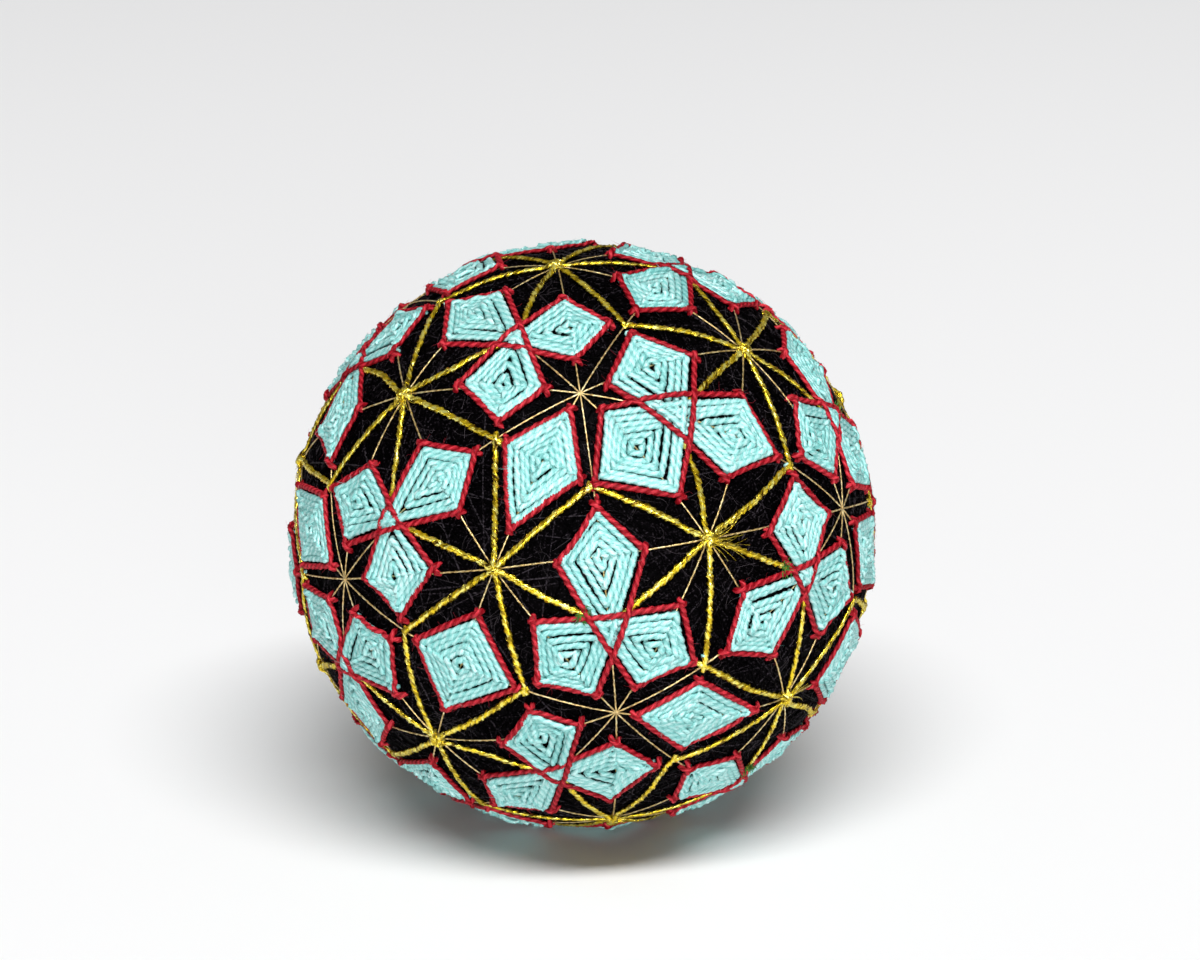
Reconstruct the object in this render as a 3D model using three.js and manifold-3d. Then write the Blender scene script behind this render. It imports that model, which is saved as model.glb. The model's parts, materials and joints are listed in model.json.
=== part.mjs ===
// Temari: a thread-wound black ball embroidered with pale aqua and crimson diamonds.
//
// The ball is one solid. Each stitched motif is a thin raised pad of its own, with the motif's real
// outline, lying 0.3 mm clear of the ball. The single rounds of thread are left to the finished model.
//
// Frame: millimetres, +Z up, origin at the middle of the small flat spot that the ball rests on.

import * as THREE from 'three';
import { mergeVertices } from 'three/addons/utils/BufferGeometryUtils.js';
import Module from 'manifold-3d';

// ---- Driving dimensions, mm -----------------------------------------------------------------------

const BALL_RADIUS = 36.65;        // the wound ball under the stitching
const STITCH_HEIGHT = 0.85;       // how far the embroidery stands above the wound ball
const CENTRE_HEIGHT = 36.35;      // ball centre above the floor: the bottom is pressed flat
const GAP = 0.3;                  // between the ball and each pad
const THREAD_WIDTH = 0.75;        // one round of pearl cotton, laid flat
const EAR = 0.25;                 // how far a corner stitch stands out past the round it ends

// ---- Guide grid -----------------------------------------------------------------------------------
// Twelve pins divide the ball like the corners of an icosahedron: N and S are opposite each other,
// A0..A4 ring N and B0..B4 ring S.

const RING_LATITUDE = Math.atan(0.5);
const TURN = { spin: 6, lean: 43, heading: -89 };          // degrees: how the ball lies on its flat
const PIN_DRIFT = {                                         // degrees east and up: pins set by eye
  N: [-1, 0], A0: [0, 1], A1: [-1, 3], A2: [2, 1.5], A3: [1, 0.5], A4: [2.5, -0.5], B4: [-2, 1],
};
const VERTEX_SHARE = 0.29;        // a pattern vertex's place on the way from one pin to the next

// A trefoil sits where three diamonds cross their threads. Two of the five vertices round each pin
// carry one: the vertex of pin N towards pin A1 is written N: 'A1'.
const TREFOILS = {
  N: ['A1', 'A3'], A0: ['B4', 'N'], A1: ['A0', 'A2'], A2: ['B2', 'N'], A3: ['A2', 'A4'], A4: ['B4', 'N'],
  B0: ['A0', 'S'], B1: ['A2', 'B0'], B2: ['A3', 'S'], B3: ['A4', 'S'], B4: ['B0', 'B3'], S: ['B1', 'B4'],
};

// Reach of a diamond's corners from its middle, in degrees of arc.
const REACH = {
  rim: { tip: 8.0, pin: 10.9, face: 13.7 },
  bridge: { tip: 11.2, face: 11.4 },
  rimLobe: { tip: 7.8, pin: 8.2, face: 8.6 },
  bridgeLobe: { tip: 8.9, face: 8.0 },
};
const NOTCH = 6.3;                // from a trefoil's middle to the notch between two lobes, degrees
const REACH_VARIES = 0.05;        // hand work: corners fall this share short or long
// Diamonds plainly out of true, as shares of the usual reach: first end, pin or first face, second
// end, second face. A diamond is named by its pins.
const OUT_OF_TRUE = {
  N_A1_A0: [1, 1, 1.3, 1.4],
  N_A3_A2: [1, 1, 1, 0.9],
  A4_N_A3: [1, 1, 1, 0.85],
  A4_N_A0: [1, 0.85, 1, 0.95],
  A4_B4_A0: [1, 1, 1, 1.1],
  A0_B4_A4: [1, 1, 0.8, 0.75],
  A0_N_A4: [1, 1.15, 0.9, 1.2],
  A1_A2_N: [1, 1, 1, 0.8],
  A1_A0_N: [1, 1, 1, 0.9],
  A0_A4: [1, 1, 0.85, 1.05],
  A0_B0: [1, 0.7, 1, 1],
};

const AQUA = 0x8fe0d6;
const BLACK = 0x101014;

// ---- Points on the unit sphere --------------------------------------------------------------------

const deg = THREE.MathUtils.degToRad;
const X = new THREE.Vector3(1, 0, 0);
const Y = new THREE.Vector3(0, 1, 0);
const Z = new THREE.Vector3(0, 0, 1);

function ringPin(latitude, longitude) {
  return X.clone().applyAxisAngle(Y, -latitude).applyAxisAngle(Z, deg(longitude));
}

function turned(pin) {
  return pin.applyAxisAngle(Z, deg(TURN.spin)).applyAxisAngle(Y, deg(TURN.lean))
    .applyAxisAngle(Z, deg(TURN.heading));
}

function drifted(pin, [east, up]) {
  const eastward = Z.clone().cross(pin).normalize();
  const upward = pin.clone().cross(eastward);
  return pin.clone().addScaledVector(eastward, deg(east)).addScaledVector(upward, deg(up)).normalize();
}

// The point a given arc away from one point, heading for another.
function step(from, to, arc) {
  const axis = from.clone().cross(to).normalize();
  return from.clone().applyAxisAngle(axis, deg(arc));
}

function between(a, b, share) {
  return step(a, b, share * THREE.MathUtils.radToDeg(a.angleTo(b)));
}

function middle(...points) {
  return points.reduce((sum, p) => sum.add(p), new THREE.Vector3()).normalize();
}

// A repeatable stand-in for chance: the same whole number always gives the same value from -1 to 1.
function wander(n) {
  const v = Math.sin(n * 12.9898) * 43758.5453;
  return 2 * (v - Math.floor(v)) - 1;
}

// ---- Pins, vertices and diamonds ------------------------------------------------------------------

const NAMES = ['N', 'A0', 'A1', 'A2', 'A3', 'A4', 'B0', 'B1', 'B2', 'B3', 'B4', 'S'];
const truePin = {};
for (const name of NAMES) {
  const k = Number(name[1] ?? 0);
  if (name === 'N') truePin[name] = turned(Z.clone());
  else if (name === 'S') truePin[name] = turned(Z.clone().negate());
  else if (name[0] === 'A') truePin[name] = turned(ringPin(RING_LATITUDE, 72 * k));
  else truePin[name] = turned(ringPin(-RING_LATITUDE, 72 * k + 36));
}
const pin = Object.fromEntries(NAMES.map((n) => [n, drifted(truePin[n], PIN_DRIFT[n] ?? [0, 0])]));

function areNeighbours(a, b) {
  return a !== b && truePin[a].dot(truePin[b]) > 0.4;
}

// Pins next to both a and b: a vertex on the way from a to b lies between the faces of these two.
function sharedNeighbours(a, b) {
  return NAMES.filter((n) => areNeighbours(n, a) && areNeighbours(n, b));
}

function vertex(a, b) {
  return between(pin[a], pin[b], VERTEX_SHARE);
}

function isTrefoil(a, b) {
  return TREFOILS[a].includes(b);
}

// Every diamond lies across the line between two vertices. On the ring round pin `a` the vertices
// point to pins `b` and `c`; on a bridge they are a-b and b-a, and c is left out.
function diamond(a, b, c) {
  const ends = c ? [vertex(a, b), vertex(a, c)] : [vertex(a, b), vertex(b, a)];
  const faces = c
    ? [pin[a], middle(pin[a], pin[b], pin[c])]
    : sharedNeighbours(a, b).map((n) => middle(pin[a], pin[b], pin[n]));
  const outOfTrue = OUT_OF_TRUE[[a, b, c].filter(Boolean).join('_')] ?? [1, 1, 1, 1];
  return { ends, faces, centre: middle(...ends), onRim: Boolean(c), outOfTrue };
}

let corner = 0;
function reachOf(shape, which) {
  corner += 1;
  return shape[which] * (1 + REACH_VARIES * wander(corner));
}

// The outside edge of the last round, past the thread's own width and its corner stitch.
const OUTSIDE = THREE.MathUtils.radToDeg((THREAD_WIDTH / 2 + EAR) / BALL_RADIUS);

// Corners of a diamond in order: first end, first face, second end, second face.
function corners(d, shape) {
  const towards = [d.ends[0], d.faces[0], d.ends[1], d.faces[1]];
  return ['tip', d.onRim ? 'pin' : 'face', 'tip', 'face'].map((which, i) => (
    step(d.centre, towards[i], reachOf(shape, which) * d.outOfTrue[i] + OUTSIDE)));
}

// ---- Pads -----------------------------------------------------------------------------------------

// Points in order, anticlockwise seen from outside the ball.
function sortedRound(centre, points) {
  const east = centre.clone().cross(Math.abs(centre.z) > 0.9 ? X : Z).normalize();
  const north = centre.clone().cross(east);
  const bearing = (p) => Math.atan2(p.dot(north), p.dot(east));
  return [...points].sort((p, q) => bearing(p) - bearing(q));
}

// A closed pad that follows the ball, from its middle out to the outline, in a few rings of facets.
function padGeometry(centre, outline, rings) {
  const inner = BALL_RADIUS + GAP;
  const outer = BALL_RADIUS + STITCH_HEIGHT;
  const n = outline.length;
  const position = [];
  const addSkin = (radius) => {
    const first = position.length / 3;
    position.push(...centre.clone().multiplyScalar(radius));
    for (let r = 1; r <= rings; r += 1) {
      for (const p of outline) position.push(...between(centre, p, r / rings).multiplyScalar(radius));
    }
    return (r, i) => (r === 0 ? first : first + 1 + (r - 1) * n + (i % n));
  };
  const top = addSkin(outer);
  const bottom = addSkin(inner);
  const index = [];
  for (let i = 0; i < n; i += 1) {
    for (let r = 0; r < rings; r += 1) {
      index.push(top(r, i), top(r + 1, i), top(r + 1, i + 1));
      index.push(bottom(r, i), bottom(r + 1, i + 1), bottom(r + 1, i));
      if (r > 0) {
        index.push(top(r, i), top(r + 1, i + 1), top(r, i + 1));
        index.push(bottom(r, i), bottom(r, i + 1), bottom(r + 1, i + 1));
      }
    }
    index.push(top(rings, i), bottom(rings, i), bottom(rings, i + 1));
    index.push(top(rings, i), bottom(rings, i + 1), top(rings, i + 1));
  }
  const geometry = new THREE.BufferGeometry();
  geometry.setAttribute('position', new THREE.Float32BufferAttribute(position, 3));
  geometry.setIndex(index);
  return geometry;
}

function singleDiamond(d) {
  const shape = d.onRim ? REACH.rim : REACH.bridge;
  const c = corners(d, shape);
  const outline = c.flatMap((p, i) => [p, between(p, c[(i + 1) % 4], 0.5)]);
  return padGeometry(d.centre, sortedRound(d.centre, outline), 2);
}

function trefoil(a, b) {
  const hub = vertex(a, b);
  const lobes = [diamond(b, a), ...sharedNeighbours(a, b).map((c) => diamond(a, b, c))];
  const outline = [];
  for (const d of lobes) {
    const [, left, , right] = corners(d, d.onRim ? REACH.rimLobe : REACH.bridgeLobe);
    const far = d.ends.reduce((p, q) => (p.distanceTo(hub) > q.distanceTo(hub) ? p : q));
    const shape = d.onRim ? REACH.rimLobe : REACH.bridgeLobe;
    const tip = step(d.centre, far, shape.tip + OUTSIDE);
    outline.push(left, between(left, tip, 0.5), tip, between(tip, right, 0.5), right);
  }
  for (const face of [middle(pin[a], pin[b], pin[sharedNeighbours(a, b)[0]]),
    middle(pin[a], pin[b], pin[sharedNeighbours(a, b)[1]]), pin[a]]) {
    outline.push(step(hub, face, NOTCH));
  }
  return padGeometry(hub, sortedRound(hub, outline), 3);
}

// ---- Flat spot ------------------------------------------------------------------------------------

const wasm = await Module();
wasm.setup();

function toSolid(geometry) {
  const bare = geometry.clone();
  bare.deleteAttribute('normal');
  bare.deleteAttribute('uv');
  const merged = mergeVertices(bare, 1e-4);
  return new wasm.Manifold(new wasm.Mesh({
    numProp: 3,
    vertProperties: new Float32Array(merged.attributes.position.array),
    triVerts: new Uint32Array(merged.index.array),
  }));
}

function toGeometry(solid) {
  const mesh = solid.getMesh();
  const geometry = new THREE.BufferGeometry();
  geometry.setAttribute('position', new THREE.BufferAttribute(mesh.vertProperties, 3));
  geometry.setIndex(new THREE.BufferAttribute(mesh.triVerts, 1));
  return geometry;
}

// Everything below the floor, seen from the ball's own centre.
const below = toSolid(new THREE.BoxGeometry(100, 100, 20).translate(0, 0, -CENTRE_HEIGHT - 10));

function restedOnFloor(geometry) {
  geometry.computeBoundingBox();
  if (geometry.boundingBox.min.z >= -CENTRE_HEIGHT) return geometry;
  const cut = toSolid(geometry).subtract(below);
  return cut.isEmpty() ? null : toGeometry(cut);
}

// ---- The object -----------------------------------------------------------------------------------

const thread = new THREE.MeshStandardMaterial({ color: AQUA, roughness: 0.75, metalness: 0 });
const winding = new THREE.MeshStandardMaterial({ color: BLACK, roughness: 0.9, metalness: 0 });

const group = new THREE.Group();
group.position.z = CENTRE_HEIGHT;

function add(name, geometry, material) {
  const rested = restedOnFloor(geometry);
  if (!rested) return;
  rested.computeVertexNormals();
  const mesh = new THREE.Mesh(rested, material);
  mesh.name = name;
  group.add(mesh);
}

add('ball', new THREE.IcosahedronGeometry(BALL_RADIUS, 9), winding);

for (const a of NAMES) {
  for (const b of TREFOILS[a]) add(`trefoil_${a}_${b}`, trefoil(a, b), thread);
}
for (const a of NAMES) {
  for (const b of NAMES.filter((n) => areNeighbours(a, n) && !isTrefoil(a, n))) {
    if (a < b && !isTrefoil(b, a)) add(`bridge_${a}_${b}`, singleDiamond(diamond(a, b)), thread);
    for (const c of sharedNeighbours(a, b)) {
      if (b < c && !isTrefoil(a, c)) add(`rim_${a}_${b}_${c}`, singleDiamond(diamond(a, b, c)), thread);
    }
  }
}

export default group;
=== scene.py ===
# %% [markdown]
# # A temari, stitched thread by thread
#
# A temari is a ball wound with thread and covered in geometric stitching. A smooth sphere with the
# pattern as colours would be quick, but no thread on it would catch the light or shade its neighbour.
# This lesson works as the maker does instead: a black wound ground, fine guide threads, gold stars,
# and then every round of pearl cotton, laid on what is already there. Lengths are in millimetres
# until a mesh is made.

import itertools
import json
import math

import bmesh
import bpy
import numpy as np
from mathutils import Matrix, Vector

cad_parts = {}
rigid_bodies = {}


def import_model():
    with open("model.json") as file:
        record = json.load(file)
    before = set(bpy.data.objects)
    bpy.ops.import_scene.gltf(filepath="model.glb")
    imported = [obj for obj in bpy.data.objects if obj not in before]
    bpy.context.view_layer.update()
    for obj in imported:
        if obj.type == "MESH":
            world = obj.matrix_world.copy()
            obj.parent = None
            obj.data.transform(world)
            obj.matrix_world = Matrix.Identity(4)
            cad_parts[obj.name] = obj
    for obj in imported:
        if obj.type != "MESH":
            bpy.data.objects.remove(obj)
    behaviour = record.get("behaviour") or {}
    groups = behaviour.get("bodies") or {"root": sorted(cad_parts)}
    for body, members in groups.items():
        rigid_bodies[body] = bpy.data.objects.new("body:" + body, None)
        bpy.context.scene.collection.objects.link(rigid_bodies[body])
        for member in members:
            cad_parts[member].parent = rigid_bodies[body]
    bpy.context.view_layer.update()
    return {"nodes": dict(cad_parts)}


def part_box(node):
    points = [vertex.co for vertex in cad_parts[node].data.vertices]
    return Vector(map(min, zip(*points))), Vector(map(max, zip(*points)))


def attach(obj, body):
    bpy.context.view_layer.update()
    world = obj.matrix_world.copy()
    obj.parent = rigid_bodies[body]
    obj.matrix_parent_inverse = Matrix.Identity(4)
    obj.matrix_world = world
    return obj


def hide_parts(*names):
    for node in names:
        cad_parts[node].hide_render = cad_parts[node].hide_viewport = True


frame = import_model()
low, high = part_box("ball")
BALL_RADIUS = 1000 * (high.x - low.x) / 2
CENTRE_HEIGHT = 1000 * high.z - BALL_RADIUS
print(f"wound ball: radius {BALL_RADIUS:.2f} mm, centre {CENTRE_HEIGHT:.2f} mm above the floor")

# %% [markdown]
# ## The view
#
# A ball seen from close by looks stretched, and its sides turn out of sight. A wide lens close up
# could show it large too, but a long lens from twelve ball radii away keeps it round and shows
# nearly half of the stitching. The ball sits slightly low and left of the middle of the view.

# %% Place the camera
CAMERA_UP = math.radians(19)
CAMERA_AWAY = 12 * BALL_RADIUS
BALL_LEFT, BALL_DOWN = math.radians(0.28), math.radians(0.915)
LENS = 103.2
CLIP_NEAR, CLIP_FAR = 0.05, 20

right = np.array([1.0, 0.0, 0.0])
up = np.array([0.0, math.sin(CAMERA_UP), math.cos(CAMERA_UP)])
back = np.array([0.0, -math.cos(CAMERA_UP), math.sin(CAMERA_UP)])
to_ball = -right * math.tan(BALL_LEFT) - up * math.tan(BALL_DOWN) - back
ball_centre = np.array([0.0, 0.0, CENTRE_HEIGHT])

camera = bpy.data.objects.new("camera", bpy.data.cameras.new("camera"))
camera.data.lens = LENS
camera.location = (ball_centre - to_ball / np.linalg.norm(to_ball) * CAMERA_AWAY) / 1000
camera.rotation_euler = (math.pi / 2 - CAMERA_UP, 0, 0)
camera.data.clip_start, camera.data.clip_end = CLIP_NEAR, CLIP_FAR
bpy.context.scene.collection.objects.link(camera)
bpy.context.scene.camera = camera
print("camera at", [round(v, 3) for v in camera.location], "m")

# %% [markdown]
# ## Points on a ball
#
# A maker measures round the ball with a strip of paper, never through it. Latitude and longitude
# could say where things are, but they bunch up at the poles. Here a place is a unit vector from the
# ball's centre, and a distance is an arc in degrees, so every helper works alike all over the ball.


# %% Measure on the ball
def unit(v):
    v = np.asarray(v, float)
    return v / np.linalg.norm(v, axis=-1, keepdims=True)


def turn(v, axis, degrees):
    a = math.radians(degrees)
    axis = unit(axis)
    return v * math.cos(a) + np.cross(axis, v) * math.sin(a) + axis * (v @ axis) * (1 - math.cos(a))


def arc_between(a, b):
    return math.degrees(math.acos(max(-1.0, min(1.0, float(a @ b)))))


def step(start, towards, degrees):
    """The point that lies a given arc from the start, heading for another point."""
    return turn(start, np.cross(start, towards), degrees)


def share(a, b, part):
    return step(a, b, part * arc_between(a, b))


def middle(*points):
    return unit(np.sum(points, axis=0))


def along_arc(start, end, way):
    """Points on the straightest line over the ball, at shares of the way from start to end."""
    arc = math.radians(arc_between(start, end))
    return unit(start * np.sin((1 - way) * arc)[:, None] + end * np.sin(way * arc)[:, None])


def wander(n):
    """A repeatable stand-in for chance: a whole number always gives the same value from -1 to 1."""
    v = math.sin(n * 12.9898) * 43758.5453
    return 2 * (v - math.floor(v)) - 1


print(f"one degree on the ball is {math.radians(1) * BALL_RADIUS:.2f} mm")

# %% [markdown]
# ## The guide grid
#
# The maker divides the ball with twelve pins, spaced like the corners of an icosahedron. N and S are
# opposite pins; A0 to A4 ring N and B0 to B4 ring S. Blender's icosphere has the same corners, but
# named pins let every later step say which ones it joins. Pins are set by eye, so a few are drifted
# a degree or two.

# %% Set the pins
X, Y, Z = np.eye(3)
RING_LATITUDE = math.degrees(math.atan(0.5))
SPIN, LEAN, HEADING = 6, 43, -89
NEIGHBOUR_COSINE = 0.4  # next pins are 63 degrees apart, others at least 116
PIN_DRIFT = {
    "N": (-1, 0), "A0": (0, 1), "A1": (-1, 3), "A2": (2, 1.5),
    "A3": (1, 0.5), "A4": (2.5, -0.5), "B4": (-2, 1),
}


def true_pin(name):
    if name in "NS":
        p = Z if name == "N" else -Z
    else:
        k = int(name[1])
        latitude, longitude = (RING_LATITUDE, 72 * k) if name[0] == "A" else (-RING_LATITUDE, 72 * k + 36)
        p = turn(turn(X, Y, -latitude), Z, longitude)
    return turn(turn(turn(p, Z, SPIN), Y, LEAN), Z, HEADING)


def drifted(p, east_up):
    """The pin moved a few degrees east and up over the ball."""
    east = unit(np.cross(Z, p))
    north = np.cross(p, east)
    return unit(p + east * math.radians(east_up[0]) + north * math.radians(east_up[1]))


NAMES = ["N"] + [f"A{k}" for k in range(5)] + [f"B{k}" for k in range(5)] + ["S"]
TRUE_PIN = {n: true_pin(n) for n in NAMES}
PIN = {n: drifted(TRUE_PIN[n], PIN_DRIFT.get(n, (0, 0))) for n in NAMES}


def are_neighbours(a, b):
    return a != b and TRUE_PIN[a] @ TRUE_PIN[b] > NEIGHBOUR_COSINE


def shared_neighbours(a, b):
    return [n for n in NAMES if are_neighbours(n, a) and are_neighbours(n, b)]


print(len(PIN), "pins set")

# %% [markdown]
# ## Where the diamonds go
#
# Between every two neighbouring pins lie two vertices, sixty in all. A diamond straddles each line
# from vertex to vertex: on the ring round a pin, or on the bridge between two rings. At two vertices
# of every ring the three diamonds are worked as one trefoil, whose last rounds cross in the middle.
# Ninety diamonds could be placed one by one, but the grid gives them all from four kinds of reach,
# and only those that are plainly out of true get a line of their own.

# %% Draw a diamond
VERTEX_SHARE = 0.29
REACH = {
    "rim": {"tip": 8.0, "pin": 10.9, "face": 13.7},
    "bridge": {"tip": 11.2, "face": 11.4},
    "rim lobe": {"tip": 7.8, "pin": 8.2, "face": 8.6},
    "bridge lobe": {"tip": 8.9, "face": 8.0},
}
REACH_VARIES = 0.05
OUT_OF_TRUE = {
    "N_A1_A0": (1, 1, 1.3, 1.4), "N_A3_A2": (1, 1, 1, 0.9), "A4_N_A3": (1, 1, 1, 0.85),
    "A4_N_A0": (1, 0.85, 1, 0.95), "A4_B4_A0": (1, 1, 1, 1.1), "A0_B4_A4": (1, 1, 0.8, 0.75),
    "A0_N_A4": (1, 1.15, 0.9, 1.2), "A1_A2_N": (1, 1, 1, 0.8), "A1_A0_N": (1, 1, 1, 0.9),
    "A0_A4": (1, 1, 0.85, 1.05), "A0_B0": (1, 0.7, 1, 1),
}
corner_number = itertools.count(1)


def vertex(a, b):
    return share(PIN[a], PIN[b], VERTEX_SHARE)


def corner_reach(d, shape):
    """Arcs from the middle to the last round's corners: end, face, other end, other face."""
    which = ("tip", "pin" if d["rim"] else "face", "tip", "face")
    return [REACH[shape][w] * (1 + REACH_VARIES * wander(next(corner_number))) * t
            for w, t in zip(which, d["out_of_true"])]


def diamond(a, b, c=None, kind=""):
    """Its two end vertices, the middles of the faces beside it, its own middle and its reach."""
    if c:
        ends = [vertex(a, b), vertex(a, c)]
        faces = [PIN[a], middle(PIN[a], PIN[b], PIN[c])]
    else:
        ends = [vertex(a, b), vertex(b, a)]
        faces = [middle(PIN[a], PIN[b], PIN[n]) for n in shared_neighbours(a, b)]
    true = OUT_OF_TRUE.get("_".join(filter(None, (a, b, c))), (1, 1, 1, 1))
    d = {"ends": ends, "faces": faces, "centre": middle(*ends), "rim": bool(c), "out_of_true": true}
    d["reach"] = corner_reach(d, ("rim" if c else "bridge") + kind)
    return d


print(len(REACH), "kinds of diamond;", len(OUT_OF_TRUE), "diamonds are out of true")

# %% [markdown]
# ## Trefoils and single diamonds
#
# On the ball every stitched motif is one piece of work: three diamonds that share a vertex, or one
# diamond alone. A list could be typed out, but a walk over the pins finds them all: first the
# vertices that carry a trefoil, then whatever bridges and rims are left between the others.

# %% List the motifs
TREFOILS = {
    "N": ("A1", "A3"), "A0": ("B4", "N"), "A1": ("A0", "A2"), "A2": ("B2", "N"),
    "A3": ("A2", "A4"), "A4": ("B4", "N"), "B0": ("A0", "S"), "B1": ("A2", "B0"),
    "B2": ("A3", "S"), "B3": ("A4", "S"), "B4": ("B0", "B3"), "S": ("B1", "B4"),
}


def is_trefoil(a, b):
    return b in TREFOILS[a]


motifs = []
for a in NAMES:
    for b in TREFOILS[a]:
        lobes = [diamond(b, a, kind=" lobe")]
        lobes += [diamond(a, b, c, kind=" lobe") for c in shared_neighbours(a, b)]
        motifs.append({"node": f"trefoil_{a}_{b}", "hub": vertex(a, b), "lobes": lobes})
for a in NAMES:
    for b in [n for n in NAMES if are_neighbours(a, n) and not is_trefoil(a, n)]:
        if a < b and not is_trefoil(b, a):
            d = diamond(a, b)
            motifs.append({"node": f"bridge_{a}_{b}", "hub": d["centre"], "lobes": [d]})
        for c in shared_neighbours(a, b):
            if b < c and not is_trefoil(a, c):
                d = diamond(a, b, c)
                motifs.append({"node": f"rim_{a}_{b}_{c}", "hub": d["centre"], "lobes": [d]})
print(len(motifs), "motifs:", sum(len(m["lobes"]) for m in motifs), "diamonds")

# %% [markdown]
# ## A strand of thread
#
# Pearl cotton is two soft plies twisted together. A round tube with a striped bump could stand for
# it, but its outline would stay smooth. Here a cross-section with two grooves turns as it is swept
# along its path, so the plies and the small dark steps between them are real. A skein collects all
# strands of one thread and becomes one mesh, which is far quicker than an object for each strand.
# The mesh remembers how far along and how far round the thread each point is, for the finish.

# %% Sweep a twisted strand
STEP = 0.33  # between two rings of a stitched thread
STRAND_GAP = 3.7  # keeps two strands on different stretches of the fibre pattern
NO_TWIST = 1e9
TWO_PLY = [(0, 0.51), (60, 0.485), (120, 0.435), (180, 0.51), (240, 0.485), (300, 0.435)]


def on_the_floor(points):
    """Points in mm from the ball's centre, as metres from the floor below it."""
    return points / 1000 + np.array([0, 0, CENTRE_HEIGHT / 1000])


class Skein:
    """Collects strands of one thread, and becomes one mesh."""

    def __init__(self, section, width, height, turn_length):
        self.section = np.array(section, float)
        self.width, self.height, self.turn = width, height, turn_length
        self.points, self.run, self.tint, self.rings = [], [], [], []
        self.length = 0.0

    def add(self, path, out, phase=0.0, tint=0.0, slim=None):
        """One strand along a path, flattened across the outward direction."""
        along = unit(np.gradient(path, axis=0))
        n = unit(out - along * np.sum(out * along, axis=1, keepdims=True))
        b = np.cross(along, n)
        run = np.concatenate([[0], np.cumsum(np.linalg.norm(np.diff(path, axis=0), axis=1))])
        angle = 2 * math.pi * run / self.turn + phase
        theta, rho = np.radians(self.section[:, 0]), self.section[:, 1]
        a = angle[:, None] + theta[None, :]
        fat = np.ones(len(path)) if slim is None else slim
        x = np.cos(a) * rho * self.width * fat[:, None]
        y = np.sin(a) * rho * self.height * fat[:, None]
        ring = path[:, None, :] + x[..., None] * b[:, None, :] + y[..., None] * n[:, None, :]
        self.points.append(ring.reshape(-1, 3))
        self.run.append(run + self.length)
        self.tint.append(np.full(len(path), tint))
        self.rings.append(len(path))
        self.length += run[-1] + STRAND_GAP

    def quads(self):
        """The faces: each ring is joined to the next ring of its own strand."""
        m = len(self.section)
        faces, start = [], 0
        for rings in self.rings:
            i = np.arange(rings - 1)[:, None] * m + start
            j = np.arange(m)[None, :]
            k = (j + 1) % m
            faces.append(np.stack([i + j, i + k, i + m + k, i + m + j], axis=-1).reshape(-1, 4))
            start += rings * m
        return np.concatenate(faces)

    def mesh(self, name, shape):
        """One mesh of all strands, its points first moved by the shape function."""
        m = len(self.section)
        points = shape(np.concatenate(self.points))
        quads = self.quads()
        data = bpy.data.meshes.new(name)
        data.vertices.add(len(points))
        data.vertices.foreach_set("co", on_the_floor(points).ravel())
        data.loops.add(quads.size)
        data.loops.foreach_set("vertex_index", quads.ravel().astype(np.int32))
        data.polygons.add(len(quads))
        data.polygons.foreach_set("loop_start", np.arange(0, quads.size, 4, dtype=np.int32))
        data.polygons.foreach_set("use_smooth", np.ones(len(quads), bool))
        data.update(calc_edges=True)
        run = np.repeat(np.concatenate(self.run), m)
        around = np.tile(np.arange(m) / m, len(run) // m)
        u, v = run[quads], around[quads]
        v = np.where(np.array([0, 1, 1, 0]) * (v == 0) > 0, 1.0, v)  # the last face ends at 1, not at 0
        layer = data.uv_layers.new(name="along_thread")
        layer.data.foreach_set("uv", np.stack([u, v], axis=-1).ravel().astype(np.float32))
        tint = data.attributes.new("tint", "FLOAT", "POINT")
        tint.data.foreach_set("value", np.repeat(np.concatenate(self.tint), m).astype(np.float32))
        return data


print("a ring of pearl cotton has", len(TWO_PLY), "points, and the next ring is", STEP, "mm on")

# %% [markdown]
# ## Laying thread on thread
#
# Stitches cross: each new thread rides over what lies under it, and pulls down tight on either side.
# A rope simulation could settle them, but not thousands of legs in a few seconds. Instead a small
# height map round every motif remembers how high the work stands. Each leg reads the map, smooths
# its way over the bumps as a taut thread does, and then adds its own height.

# %% Remember how high the work stands
CELL = 0.11
MAP_HALF, MAP_MARGIN = 19.0, 1.0
MOST_UNDER = 0.8  # soft threads below sink in, so a pile never stands higher than this
SOFT_EDGE = 0.06
WIDEN_CELLS = 2
TAUT_CELLS, TAUT_SPREAD = 8, 3.2
CORE, CORE_SOFT = 0.26, 0.15  # the share of a thread's width that carries the next one


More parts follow.
